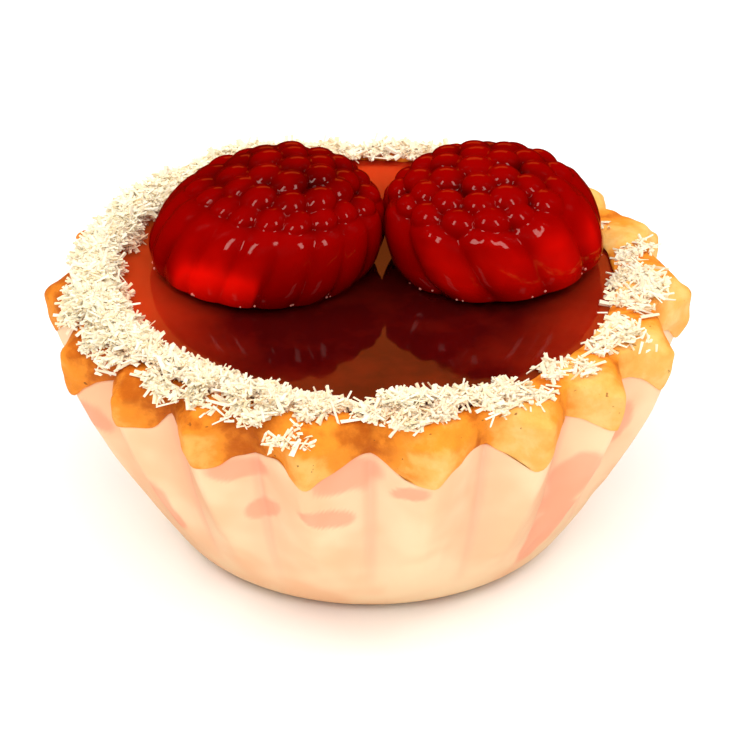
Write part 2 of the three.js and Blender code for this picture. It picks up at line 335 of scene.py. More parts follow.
def wall_radius(height):
    a = CORNER_HEIGHT - 2 * WALL_BELLY[1] + WALL_TOP[1]
    b = 2 * (WALL_BELLY[1] - CORNER_HEIGHT)
    c = CORNER_HEIGHT - height
    along = (-b + np.sqrt(b * b - 4 * a * c)) / (2 * a)
    left = 1 - along
    return left**2 * CORNER_RADIUS + 2 * along * left * WALL_BELLY[0] + along**2 * WALL_TOP[0]


def paper_radius(flutes, height):
    depth = FLUTE_DEPTH * smoothstep(height, FLUTES_START, FLUTES_FULL)
    to_the_right = np.clip(np.cos(angle_at(flutes)), 0, 1) ** 2
    squeeze = RIGHT_SQUEEZE * to_the_right * smoothstep(height, CORNER_HEIGHT, FLUTES_FULL)
    return wall_radius(height) - squeeze - depth * (1 - crest(flutes))


def unevenness(flutes, scale, seed):
    """Smooth random numbers from -1 to 1 along the way round, with features "scale" flutes long."""
    angles = angle_at(flutes)
    circle = np.stack([np.cos(angles), np.sin(angles), np.zeros_like(angles)], axis=-1)
    return value_noise(circle * FLUTES / TURN, scale, seed)


def front_edge(flutes):
    """The edge along the front, with its corners rounded a little."""
    places, heights = np.transpose(FRONT_EDGE)
    around_corners = np.linspace(-0.05, 0.05, 5)
    return np.mean([np.interp(flutes + shift, places, heights) for shift in around_corners], axis=0)


def paper_edge(flutes):
    even = mix(PAPER_EDGE_AT_VALLEY, PAPER_EDGE_AT_CREST, crest(flutes) ** EDGE_ROUNDNESS)
    even = even + EDGE_UNEVENNESS * unevenness(flutes, 0.9, 11)
    place = (flutes + FLUTES / 2) % FLUTES - FLUTES / 2
    start, end = FRONT_EDGE[0][0], FRONT_EDGE[-1][0]
    front = smoothstep(place, start, start + 0.2) * (1 - smoothstep(place, end - 0.2, end))
    return mix(even, front_edge(place), front)


def lower_outline(flutes, inset):
    """Radius and height, row by row, of the flat bottom, the corner and the wall up to the edge."""
    share = np.linspace(0.15, 1, PAPER_BOTTOM_ROWS)
    rows = [(BOTTOM_RADIUS * part, inset) for part in share]
    slope = (WALL_BELLY[1] - CORNER_HEIGHT) / (WALL_BELLY[0] - CORNER_RADIUS)
    corner = CORNER_RADIUS - CORNER_HEIGHT / slope
    for part in np.linspace(0, 1, PAPER_CORNER_ROWS + 1)[1:-1]:
        rest = 1 - part
        radius = rest**2 * BOTTOM_RADIUS + 2 * part * rest * corner + part**2 * CORNER_RADIUS
        height = part**2 * CORNER_HEIGHT
        rows.append((radius - inset * part, height + inset * rest))
    radii = [np.full(flutes.shape, radius) for radius, _ in rows]
    heights = [np.full(flutes.shape, height) for _, height in rows]
    edge = paper_edge(flutes)
    for part in np.linspace(0, 1, PAPER_WALL_ROWS + 1):
        height = mix(CORNER_HEIGHT, edge, part)
        radii.append(paper_radius(flutes, height) - inset)
        heights.append(height)
    return np.array(radii), np.array(heights)


def around():
    return np.arange(FLUTES * FLUTE_STEPS) / FLUTE_STEPS


def turned(flutes, radii, heights):
    angles = angle_at(flutes)
    return np.stack([radii * np.cos(angles), radii * np.sin(angles), heights], axis=-1)


# ---- Materials ----

class Shader:
    """A material's nodes, with short calls to add and join them."""

    def __init__(self, name):
        self.material = bpy.data.materials.new(name)
        self.material.use_nodes = True
        self.nodes = self.material.node_tree.nodes
        self.links = self.material.node_tree.links
        self.surface = self.nodes["Principled BSDF"]
        self.place = self.nodes.new("ShaderNodeTexCoord").outputs["Object"]

    def set(self, name, value):
        self.surface.inputs[name].default_value = value

    def join(self, output, socket):
        self.links.new(output, self.surface.inputs[socket])

    def noise(self, size, detail=4, roughness=0.55, stretch=(1, 1, 1)):
        """Noise with features about "size" millimetres wide."""
        mapping = self.nodes.new("ShaderNodeMapping")
        mapping.inputs["Scale"].default_value = stretch
        self.links.new(self.place, mapping.inputs["Vector"])
        node = self.nodes.new("ShaderNodeTexNoise")
        node.inputs["Scale"].default_value = 1 / (size * MM)
        node.inputs["Detail"].default_value = detail
        node.inputs["Roughness"].default_value = roughness
        self.links.new(mapping.outputs["Vector"], node.inputs["Vector"])
        return node.outputs["Fac"]

    def attribute(self, name):
        node = self.nodes.new("ShaderNodeAttribute")
        node.attribute_name = name
        return node.outputs["Fac"]

    def range(self, value, low, high, to_low=0.0, to_high=1.0):
        node = self.nodes.new("ShaderNodeMapRange")
        node.interpolation_type = "SMOOTHSTEP"
        self.links.new(value, node.inputs["Value"])
        limits = {"From Min": low, "From Max": high, "To Min": to_low, "To Max": to_high}
        for name, number in limits.items():
            node.inputs[name].default_value = number
        return node.outputs["Result"]

    def math(self, operation, one, other):
        node = self.nodes.new("ShaderNodeMath")
        node.operation = operation
        for socket, value in zip(node.inputs, (one, other)):
            if isinstance(value, (int, float)):
                socket.default_value = value
            else:
                self.links.new(value, socket)
        return node.outputs["Value"]

    def blend(self, share, one, other):
        """A colour between two, each a colour or another node's output."""
        node = self.nodes.new("ShaderNodeMix")
        node.data_type = "RGBA"
        if isinstance(share, (int, float)):
            node.inputs[0].default_value = share
        else:
            self.links.new(share, node.inputs[0])
        for socket, value in ((node.inputs[6], one), (node.inputs[7], other)):
            if isinstance(value, tuple):
                socket.default_value = (*value, 1)
            else:
                self.links.new(value, socket)
        return node.outputs[2]

    def bump(self, height, depth, strength=1.0):
        """Relief of "depth" millimetres from a height between 0 and 1."""
        node = self.nodes.new("ShaderNodeBump")
        node.inputs["Strength"].default_value = strength
        node.inputs["Distance"].default_value = depth * MM
        self.links.new(height, node.inputs["Height"])
        self.join(node.outputs["Normal"], "Normal")


def paper_material():
    shader = Shader("printed_paper")
    cream = (0.93, 0.55, 0.305)
    pale = (0.95, 0.69, 0.42)
    painted_shade_pink = (0.91, 0.46, 0.28)
    coral = (0.94, 0.30, 0.18)
    mottle = shader.noise(9, detail=2)
    ground = shader.blend(shader.range(mottle, 0.35, 0.65), cream, pale)
    # painted shade: the folds between pleats are darkened to pink
    ground = shader.blend(shader.attribute("painted_fold_shade"), ground, painted_shade_pink)
    inked = shader.blend(shader.attribute("print"), ground, coral)
    shader.join(inked, "Base Color")
    shader.set("Roughness", 0.62)
    shader.set("Specular IOR Level", 0.25)
    fibres = shader.noise(0.5, detail=6, stretch=(1, 1, 0.5))
    shader.bump(fibres, 0.03, 0.5)
    return shader.material


def pastry_material():
    shader = Shader("shortcrust")
    palest = (0.98, 0.61, 0.22)
    pale = (0.95, 0.465, 0.105)
    golden = (0.88, 0.28, 0.022)
    brown = (0.52, 0.11, 0.004)
    speck = (0.20, 0.05, 0.008)
    mottle = shader.noise(2.6, detail=5)
    # browning and painted shade: the deepest brown, in the valleys between the teeth, is partly
    # painted shade
    browning_and_painted_shade = shader.attribute("browning_and_painted_shade")
    unevenness = shader.range(mottle, 0.3, 0.7, -0.22, 0.22)
    share = shader.math("ADD", browning_and_painted_shade, unevenness)
    colour = shader.blend(shader.range(share, -0.45, 0.1), palest, pale)
    colour = shader.blend(shader.range(share, 0.0, 0.55), colour, golden)
    colour = shader.blend(shader.range(share, 0.55, 1.1), colour, brown)
    specks = shader.range(shader.noise(0.9, detail=2), 0.70, 0.76)
    colour = shader.blend(shader.math("MULTIPLY", specks, 0.75), colour, speck)
    shader.join(colour, "Base Color")
    shader.set("Roughness", 0.65)
    shader.set("Specular IOR Level", 0.15)
    grain = shader.noise(0.55, detail=6, roughness=0.65)
    shader.bump(grain, 0.22, 0.8)
    return shader.material


def coconut_material():
    shader = Shader("coconut")
    white = (1.0, 0.92, 0.70)
    cream = (1.0, 0.82, 0.53)
    painted_shade_colour = (0.98, 0.55, 0.34)
    tone = shader.attribute("tone")
    streak = shader.range(shader.noise(0.8, detail=3), 0.3, 0.7, -0.2, 0.2)
    colour = shader.blend(shader.math("ADD", tone, streak), white, cream)
    # painted shade on shreds lying low in the pile
    colour = shader.blend(shader.math("MULTIPLY", shader.attribute("painted_pile_shade"), 0.7), colour, painted_shade_colour)
    shader.join(colour, "Base Color")
    shader.set("Roughness", 0.55)
    shader.set("Subsurface Weight", 0.3)
    shader.set("Subsurface Radius", (1, 0.8, 0.6))
    shader.set("Subsurface Scale", 0.3 * MM)
    shader.bump(shader.noise(0.35, detail=4), 0.04, 0.6)
    return shader.material


def jelly_material():
    shader = Shader("red_jelly")
    # the jelly's deep colour, and the lighter colour of painted light near its edge
    thick = (0.042, 0.001, 0.001)
    painted_edge_light = (0.50, 0.024, 0.005)
    painted_edge_light_share = shader.attribute("painted_edge_light")
    cloud = shader.range(shader.noise(6), 0.3, 0.7, -0.06, 0.06)
    share = shader.math("ADD", painted_edge_light_share, cloud)
    shader.join(shader.blend(share, thick, painted_edge_light), "Base Color")
    shader.set("Roughness", 0.06)
    shader.set("IOR", 1.42)
    shader.set("Subsurface Weight", 0.6)
    shader.set("Subsurface Radius", (1, 0.12, 0.06))
    shader.set("Subsurface Scale", 2.5 * MM)
    shader.bump(shader.noise(5, detail=2), 0.05, 0.6)
    return shader.material


def berry_material():
    shader = Shader("moulded_jelly")
    # painted shade, the berry's own red, and painted glow
    painted_shade = (0.05, 0.0, 0.0)
    usual = (0.31, 0.0, 0.0)
    painted_glow = (1.0, 0.004, 0.001)
    cloud = shader.range(shader.noise(5, detail=2), 0.3, 0.7, -0.06, 0.06)
    painted_light_and_shade = shader.math("ADD", shader.attribute("painted_light_and_shade"), cloud)
    # painted shade below USUAL_GLOW, painted glow above it
    colour = shader.blend(shader.range(painted_light_and_shade, 0.0, USUAL_GLOW), painted_shade, usual)
    colour = shader.blend(shader.range(painted_light_and_shade, USUAL_GLOW, 1.0), colour, painted_glow)
    shader.join(colour, "Base Color")
    shader.set("Roughness", 0.06)
    shader.set("IOR", 1.42)
    shader.set("Transmission Weight", 0.2)
    shader.bump(shader.noise(1.6, detail=2), 0.03, 0.5)
    absorb(shader, (0.75, 0.01, 0.005), 120)
    return shader.material


def absorb(shader, colour, density):
    volume = shader.nodes.new("ShaderNodeVolumeAbsorption")
    volume.inputs["Color"].default_value = (*colour, 1)
    volume.inputs["Density"].default_value = density
    output = shader.nodes["Material Output"]
    shader.links.new(volume.outputs["Volume"], output.inputs["Volume"])


def bead_material():
    shader = Shader("sugar_bead")
    colour = shader.blend(shader.noise(0.6), (0.75, 0.16, 0.12), (0.9, 0.42, 0.34))
    shader.join(colour, "Base Color")
    shader.set("Roughness", 0.25)
    return shader.material


# ---- Paper case ----

def printed_share(points):
    """1 where the paper is printed: soft-edged blotches, unevenly spread."""
    bearings = np.degrees(np.arctan2(points[..., 0], -points[..., 1]))
    ragged = 0.35 * value_noise(points, 2.5, 22) + 0.08 * value_noise(points, 1.2, 23)
    ink = np.zeros(points.shape[:-1])
    for bearing, height, wide, tall, slant in BLOTCHES:
        aside = (bearings - bearing + 180) % 360 - 180
        across = aside * TURN / 360 * CORNER_RADIUS * 1.4
        upward = points[..., 2] - height - slant * across
        reach = np.hypot(across / wide, upward / tall) * 2 + ragged
        ink = np.maximum(ink, 1 - smoothstep(reach, 0.8, 1.12))
    return ink * PRINT_STRENGTH


def crumple(points):
    """Fine upright creases, stronger towards the edge."""
    stretched = points * (1, 1, 0.22)
    folds = 1 - np.abs(value_noise(stretched, 2.2, 31)) * 2
    waves = value_noise(stretched, 6.0, 32)
    share = smoothstep(points[..., 2], 1.0, 9) * (1 - 0.7 * smoothstep(points[..., 2], 19, 24))
    return PAPER_CRUMPLE * share * (0.5 * folds + 0.8 * waves)


def painted_fold_shade_share(flutes, rings):
    """1 in the folds between pleats, where shade is painted into the paper as a pinker colour."""
    valley = 1 - crest(flutes)
    crease = smoothstep(valley, 0.86, 0.97)
    return (0.45 * valley**1.5 + 0.35 * crease) * smoothstep(rings[..., 2], 2, 14)


def paper_case():
    flutes = around()
    radii, heights = lower_outline(flutes, 0)
    outside = turned(flutes, radii, heights)
    radii = radii + crumple(outside)
    outside = turned(flutes, radii, heights)
    wall = smoothstep(heights, 0, CORNER_HEIGHT)
    inner_heights = heights + PAPER_THICKNESS * (1 - wall)
    inner_heights[-1] = heights[-1]
    inside = turned(flutes, radii - PAPER_THICKNESS * wall, inner_heights)
    rim = (outside[-1] + inside[-1]) / 2 + (0, 0, PAPER_THICKNESS / 3)
    rings = np.concatenate([outside, rim[None], inside[::-1]])
    piece = closed_lathe("pleated_paper", rings, paper_material())
    add_attribute(piece, "print", with_poles(printed_share(rings)))
    # painted shade in the folds between pleats
    add_attribute(piece, "painted_fold_shade", with_poles(painted_fold_shade_share(flutes, rings)))
    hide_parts("paper_case")
    return piece


# ---- Pastry ----

def pastry_relief(points):
    lumps = value_noise(points, 3.2, 41) * 0.30
    crumb = value_noise(points, 1.3, 42) * 0.14
    return lumps + crumb


def softened(rows, times):
    """Rounds the corners of an outline by averaging each row with its neighbours."""
    rows = np.array(rows)
    for _ in range(times):
        middle = (rows[:-2] + 2 * rows[1:-1] + rows[2:]) / 4
        rows = np.concatenate([rows[:1], middle, rows[-1:]])
    return rows


def steps(start, end, count):
    """Even steps from start to end, without the start."""
    return [mix(start, end, part) for part in np.linspace(0, 1, count + 1)[1:]]


def tooth_rows(flutes):
    """Radii and heights of what shows of the pastry, from under the teeth to the jelly's edge."""
    tooth = crest(flutes)
    edge = paper_edge(flutes)
    under = paper_radius(flutes, edge) - PASTRY_INSET
    lip = paper_radius(flutes, edge) + LIP_THICKNESS
    middle = mix(edge, SHOULDER_HEIGHT, 0.35)
    bulge = mix(BULGE_AT_VALLEY, BULGE_AT_CREST, tooth)
    bulge = bulge + BULGE_UNEVENNESS * tooth * unevenness(flutes, 1.3, 12)
    face = paper_radius(flutes, middle) + bulge
    shoulder = np.maximum(face - 0.2, paper_radius(flutes, SHOULDER_HEIGHT))
    rim = mix(RIM_RADIUS_AT_VALLEY, RIM_RADIUS_AT_CREST, tooth)
    ledge = LEDGE_REACH * smoothstep(np.cos(angle_at(flutes)), 0.3, 0.85)
    corners = [
        (under, edge + LIP_GAP, 1),
        (lip - 0.1, edge + LIP_GAP - LIP_OVERLAP / 2, 3),
        (lip, edge - LIP_OVERLAP, 2),
        (face, middle, 6),
        (shoulder, SHOULDER_HEIGHT, 8),
        (rim, RIM_HEIGHT, 11),
        (CROWN_RADIUS - ledge / 2, CROWN_HEIGHT, 9),
        (CAVITY_RADIUS - ledge, CROWN_HEIGHT - 0.5, 7),
        (CAVITY_RADIUS - ledge, JELLY_LEVEL + 0.1, 3),
        (CAVITY_RADIUS, JELLY_LEVEL - 0.2, 5),
        (CAVITY_RADIUS, JELLY_LEVEL - 0.5, 2),
    ]
    corners = [
        (np.broadcast_to(radius, tooth.shape), np.broadcast_to(height, tooth.shape), count)
        for radius, height, count in corners
    ]
    radii, heights = [corners[0][0]], [corners[0][1]]
    for (radius, height, _), (next_radius, next_height, count) in zip(corners, corners[1:]):
        radii += steps(radius, next_radius, count)
        heights += steps(height, next_height, count)
    return softened(radii, 3), softened(heights, 3)


def pastry_outline(flutes):
    """Radius, height and share of the relief, from the bottom to the cavity's floor."""
    low_radii, low_heights = (rows[::4] for rows in lower_outline(flutes, PASTRY_INSET))
    radii, heights = tooth_rows(flutes)
    floor = JELLY_LEVEL - JELLY_DEPTH - LIP_GAP
    inner = CAVITY_RADIUS - CAVITY_SLOPE
    cavity = [
        (mix(CAVITY_RADIUS, inner, part), mix(JELLY_LEVEL - 0.4, floor, part))
        for part in (0.3, 0.6, 1)
    ]
    cavity += [(inner * part, floor) for part in (0.7, 0.4, 0.15)]
    cavity_radii = np.array([[radius] * len(flutes) for radius, _ in cavity])
    cavity_heights = np.array([[height] * len(flutes) for _, height in cavity])
    rough = np.clip(np.arange(len(radii)) / 4, 0, 1)
    rough[-6:] *= np.linspace(1, 0, 6)
    relief = np.concatenate([np.zeros(len(low_radii)), rough, np.zeros(len(cavity))])
    radii = np.concatenate([low_radii, radii, cavity_radii])
    heights = np.concatenate([low_heights, heights, cavity_heights])
    return radii, heights, relief


def browning_and_painted_shade_share(flutes, heights):
    """How brown the pastry is: more up the rim's outer slope and on the left, most in the valleys,
    partly baking and partly painted shade.
    """
    right = np.cos(angle_at(flutes))
    valley = 1 - crest(flutes + 0.2 * smoothstep(right, 0.15, 0.5))
    slope = smoothstep(heights, SHOULDER_HEIGHT - 1.2, SHOULDER_HEIGHT + 0.8)
    left = np.clip(-right, -0.45, 1)
    slope = slope * mix(0.58, 0.12, smoothstep(right, 0.2, 0.55))
    # the valley term is partly browning and partly painted shade; the left term makes the left darker
    # and the right paler
    return 0.05 + 0.43 * left + 0.95 * valley**1.6 + slope * (1 - valley)


def smoothed_normals(rings):
    """Outward directions on a grid of rings."""
    along = np.gradient(rings, axis=0)
    sideways = (np.roll(rings, -1, axis=1) - np.roll(rings, 1, axis=1)) / 2
    normals = np.cross(sideways, along)
    length = np.linalg.norm(normals, axis=-1, keepdims=True)
    return normals / np.maximum(length, 1e-9)


def pastry():
    flutes = around()
    radii, heights, relief = pastry_outline(flutes)
    rings = turned(flutes, radii, heights)
    rings = rings + smoothed_normals(rings) * (pastry_relief(rings) * relief[:, None])[..., None]
    piece = closed_lathe("shortcrust_shell", rings, pastry_material())
    add_attribute(piece, "browning_and_painted_shade", with_poles(browning_and_painted_shade_share(flutes, heights)))
    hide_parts("pastry_shell")
    return piece


# ---- Jelly ----

def jelly():
    columns = 240
    angles = np.arange(columns) / columns * TURN
    radius = CAVITY_RADIUS - 0.05
    floor = JELLY_LEVEL - JELLY_DEPTH
    outline = [(part * (radius - CAVITY_SLOPE), floor) for part in (0.1, 0.4, 0.7, 1.0)]
    outline += [
        (radius - CAVITY_SLOPE * (1 - part), mix(floor, JELLY_LEVEL, part))
        for part in (0.3, 0.6, 0.9)
    ]
    outline.append((radius, JELLY_LEVEL + MENISCUS))
    for inward in (0.15, 0.35, 0.6, 0.9, 1.3, 1.8, 2.4, 3.2, 4.5):
        outline.append((radius - inward, JELLY_LEVEL + MENISCUS * math.exp(-inward / 0.55)))
    outline += [(radius * part, JELLY_LEVEL) for part in np.linspace(0.8, 0.05, 24)]
    radii = np.array([radius for radius, _ in outline])[:, None] * np.ones(columns)
    heights = np.array([height for _, height in outline])[:, None] * np.ones(columns)
    rings = np.stack([radii * np.cos(angles), radii * np.sin(angles), heights], axis=-1)
    top = heights > JELLY_LEVEL - 0.5
    rings[..., 2] += np.where(top, 0.07 * value_noise(rings, 7, 51), 0)
    piece = closed_lathe("jelly_pool", rings, jelly_material())
    bearings = (np.degrees(angles) + 270) % 360 - 180
    # painted light: lighter towards the edge, most on the left and at the back, least along the front
    painted_edge_light = smoothstep(radii, 14, 28) * np.interp(bearings, *np.transpose(JELLY_PAINTED_EDGE_LIGHT))
    add_attribute(piece, "painted_edge_light", with_poles(painted_edge_light))
    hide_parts("jelly_filling")
    return piece


# ---- Berries ----

def dome_point(berry, tilt, turn):
    """A point on the smooth dome under the drupelets. Past a quarter turn it curves in to the base."""
    above = np.clip(tilt, 0, TURN / 4)
    below = np.clip(tilt - TURN / 4, 0, None) / BASE_TILT
    reach = np.sin(above) ** berry["fullness"] * mix(1, BASE_SHARE, below**2)
    rise = BELLY_HEIGHT + (berry["height"] - BELLY_HEIGHT) * np.cos(above) ** berry["fullness"]
    rise = rise - BELLY_HEIGHT * below
    radius = berry["radius"]
    return np.stack([radius * reach * np.cos(turn), radius * reach * np.sin(turn), rise], axis=-1)


def columns(berry):
    """The bearing of each column round the berry's axis, and the angle of its head from the axis."""
    rng = np.random.default_rng(berry["seed"] + 100)
    for index in range(berry["columns"]):
        turn = math.radians(berry["first_column"]) + index * TURN / berry["columns"] - TURN / 4
        yield turn, berry["column_head"] + berry["head_unevenness"] * rng.uniform(-1, 1)


def drupelets(berry):
    """Centres on the dome, with width and height, of the round drupelets."""
    rng = np.random.default_rng(berry["seed"])
    found = []
    for turn, head in columns(berry):
        relief = mix(berry["column_relief"], DRUPELET_RELIEF, 0.7)
        found.append((dome_point(berry, head, turn), berry["head_size"] * DRUPELET_RADIUS, relief))
    for order, (tilt, count) in enumerate(berry["rows"]):
        for index in range(count):
            turn = (index + 0.5 * (order % 2) + rng.uniform(-0.08, 0.08)) / count * TURN
            width = DRUPELET_RADIUS * rng.uniform(0.95, 1.08)
            centre = dome_point(berry, tilt + rng.uniform(-0.02, 0.02), turn)
            found.append((centre, width, DRUPELET_RELIEF * rng.uniform(0.88, 1.04)))
    return found


def berry_bumps(berry, dome, tilts, turns):
    """How far the drupelets stand out from the dome, at each of its points."""
    layers = [np.zeros(dome.shape[:2])]
    for centre, width, height in drupelets(berry):
        away = np.linalg.norm(dome - centre, axis=-1) / width
        layers.append(height * np.sqrt(np.clip(1 - away**2, 0, 1)))
    half_width = berry["column_share"] * TURN / berry["columns"] * berry["radius"]
    for turn, head in columns(berry):
        slant = berry["column_twist"] * max(0, math.cos(turn + TURN * 3 / 8)) * (tilts - head)
        aside = np.angle(np.exp(1j * (turns - turn - slant)))
        lateral = np.linalg.norm(dome[..., :2], axis=-1) * np.abs(aside)
        above = np.clip(head + berry["column_start"] - tilts, 0, None) * berry["height"]
        away = np.hypot(lateral, above) / half_width
        layers.append(berry["column_relief"] * np.sqrt(np.clip(1 - away**2, 0, 1)))
    stack = np.array(layers)
    sharpness = 11
    highest = stack.max(axis=0)
    return highest + np.log(np.exp(sharpness * (stack - highest)).sum(axis=0)) / sharpness


def berry_rings(berry):
    turns = np.arange(BERRY_SIDES)[None, :] / BERRY_SIDES * TURN
    tilts = np.linspace(TURN / 4 + BASE_TILT, 0.012, BERRY_ROWS)[:, None]
    tilts, turns = np.broadcast_arrays(tilts, turns)
    dome = dome_point(berry, tilts, turns)
    bumps = berry_bumps(berry, dome, tilts, turns)
    head = berry["column_head"]
    tops = mix(DRUPELET_RELIEF, berry["column_relief"], smoothstep(tilts, head - 0.1, head + 0.3))
    rings = dome + smoothed_normals(dome) * (bumps - tops)[..., None]
    rings[..., 2] = np.maximum(rings[..., 2], 0)
    rings[0, :, 2] = 0
    base = np.array([rings[0] * (part, part, 1) for part in np.linspace(0.1, 0.97, BERRY_BASE_ROWS)])
    grooves = np.clip(1 - bumps / tops, 0, 1)
    grooves = np.concatenate([np.zeros((BERRY_BASE_ROWS, BERRY_SIDES)), grooves])
    return np.concatenate([base, rings]), grooves


def place_berry(berry, points):
    """Sways and tips the berry, with its lowest point just in the jelly."""
    points = points + points[..., 2:] * (berry["sway"], 0, 0)
    bearing = math.radians(berry["tilt_bearing"])
    towards = np.array([math.sin(bearing), -math.cos(bearing), 0])
    axis = np.cross((0, 0, 1), towards)
    turn = berry["tilt"]
    cosine, sine = math.cos(turn), math.sin(turn)
    points = (
        points * cosine
        + np.cross(axis, points) * sine
        + axis * (points @ axis)[..., None] * (1 - cosine)
    )
    lift = JELLY_LEVEL - 0.1 - points[..., 2].min()
    return points + np.array([*berry["centre"], lift])


def painted_light_and_shade_share(berry, rings, grooves):
    """Painted light and shade on the berry: painted glow in patches low on its front, painted shade in
    its grooves and on its top.
    """
    bearings = np.degrees(np.arctan2(rings[..., 0], -rings[..., 1]))
    share = USUAL_GLOW - berry["groove_shade"] * grooves
    share = share - berry["top_shade"] * smoothstep(rings[..., 2], 7, 12)
    for low, high, height, strength in berry["patches"]:
        sideways = smoothstep(bearings, low - 6, low + 6)
        sideways = sideways * (1 - smoothstep(bearings, high - 3, high + 3))
        upward = 1 - smoothstep(rings[..., 2], height - 2.6, height + 2.2)
        share = share + strength * sideways * upward
    return share


def berry_piece(berry, material):
    rings, grooves = berry_rings(berry)
    # painted glow and painted shade for the berry's colour
    painted_light_and_shade = painted_light_and_shade_share(berry, rings, grooves)
    rings = place_berry(berry, rings)
    piece = closed_lathe(berry["name"], rings, material)
    add_attribute(piece, "painted_light_and_shade", with_poles(painted_light_and_shade))
    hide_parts(berry["node"])
    return rings[BERRY_BASE_ROWS + 2]


# ---- Coconut ----

def front_angle(bearing):
    return np.radians(bearing) - TURN / 4


def ring_at(bearing):
    """How thick the coconut lies at a bearing, with some unevenness, and the ring's two radii."""
    angle = np.radians(bearing)
    circle = np.stack([np.cos(angle), np.sin(angle), np.zeros_like(angle)], axis=-1)
    uneven = value_noise(circle * CAVITY_RADIUS, 3.0, 61)
    bearings, fullness, inner, outer = np.transpose(COCONUT_RING)
    full = np.interp(bearing, bearings, fullness)
    full = np.clip(full * (1 + 0.35 * uneven), 0.0, 1)
    return full, np.interp(bearing, bearings, inner), np.interp(bearing, bearings, outer)


def rim_surface(radius):
    """Height of what the coconut lies on."""
    heights = np.interp(
        radius,
        [CAVITY_RADIUS - 3.0, CROWN_RADIUS, 32.5, 34.5],
        [JELLY_LEVEL + 0.3, CROWN_HEIGHT, RIM_HEIGHT, 28.0],
    )
    return heights


def shred_places(rng):
    """Middles of the shreds: they lie in small clumps, piled on the rim."""
    bearings = rng.uniform(-180, 180, CLUMPS * 5)
    full, _, _ = ring_at(bearings)
    bearings = bearings[rng.uniform(0, 1, len(bearings)) < full][:CLUMPS]
    full, inner, outer = ring_at(bearings)
    across = np.clip(rng.normal(0.5, 0.30, len(bearings)), -0.08, 1.08)
    bearings, full, inner, outer, across = (
        np.repeat(values, SHREDS_PER_CLUMP) for values in (bearings, full, inner, outer, across)
    )
    count = len(bearings)
    spread = mix(*CLUMP_SPREAD, smoothstep(full, 0.1, 0.6))
    bearings = bearings + np.degrees(rng.normal(0, 1, count) * spread / CAVITY_RADIUS)
    radius = mix(inner, outer, across)
    radius = radius + rng.normal(0, 0.8, count) * spread
    pile = mix(0.2, 2.4, full) * np.sqrt(np.clip(1.1 - (2 * across - 1) ** 2, 0.03, 1))
    lift = 0.15 + pile * rng.uniform(0, 1, count) ** 0.8
    for bearing, distance, spread, shreds in STRAYS:
        bearings = np.append(bearings, bearing + np.degrees(rng.normal(0, spread, shreds) / distance))
        radius = np.append(radius, distance + rng.normal(0, 0.45, shreds))
        lift = np.append(lift, 0.1 + rng.uniform(0, 0.7, shreds))
    angle = front_angle(bearings)
    height = rim_surface(radius) + lift
    return np.stack([radius * np.cos(angle), radius * np.sin(angle), height], axis=-1)


def clear_of_berries(centres):
    keep = np.ones(len(centres), bool)
    for berry in (LEFT_BERRY, RIGHT_BERRY):
        away = np.hypot(centres[:, 0] - berry["centre"][0], centres[:, 1] - berry["centre"][1])
        keep &= away > berry["radius"] + SHREDS_CLEAR_OF_BERRIES
    return keep


def strips(centres, rng):
    """Thin three-sided strips of coconut flesh: points by strip, end and corner."""
    count = len(centres)
    length = SHRED_LENGTH[0] + SHRED_LENGTH[1] * rng.uniform(0, 1, count) ** 2.2
    width = SHRED_WIDTH[0] + SHRED_WIDTH[1] * rng.uniform(0, 1, count) ** 1.5
    thick = rng.uniform(*SHRED_THICKNESS, count)
    heading = rng.uniform(0, TURN, count)
    pitch = rng.normal(0, SHRED_PITCH, count)
    roll = rng.normal(0, SHRED_ROLL, count)
    along = np.stack(
        [np.cos(heading) * np.cos(pitch), np.sin(heading) * np.cos(pitch), np.sin(pitch)], axis=-1
    )
    level = np.stack([-np.sin(heading), np.cos(heading), np.zeros(count)], axis=-1)
    up = np.cross(along, level)
    side = level * np.cos(roll)[:, None] + up * np.sin(roll)[:, None]
    over = np.cross(along, side)
    points = np.zeros((count, 2, 3, 3))
    for end, (part, taper) in enumerate(((-0.5, 1.0), (0.5, SHRED_TAPER))):
        middle = centres + along * (part * length)[:, None]
        for corner, (a, b) in enumerate(((0, 1), (-1, -0.5), (1, -0.5))):
            points[:, end, corner] = (
                middle
                + side * (a * taper * width / 2)[:, None]
                + over * (b * taper * thick / 2)[:, None]
            )
    return points


def strip_faces(count):
    faces = []
    for near in range(0, 6 * count, 6):
        far = near + 3
        faces.append([near + 2, near + 1, near])
        faces.append([far, far + 1, far + 2])
        for corner in range(3):
            following = (corner + 1) % 3
            faces.append([near + corner, near + following, far + following, far + corner])
    return faces


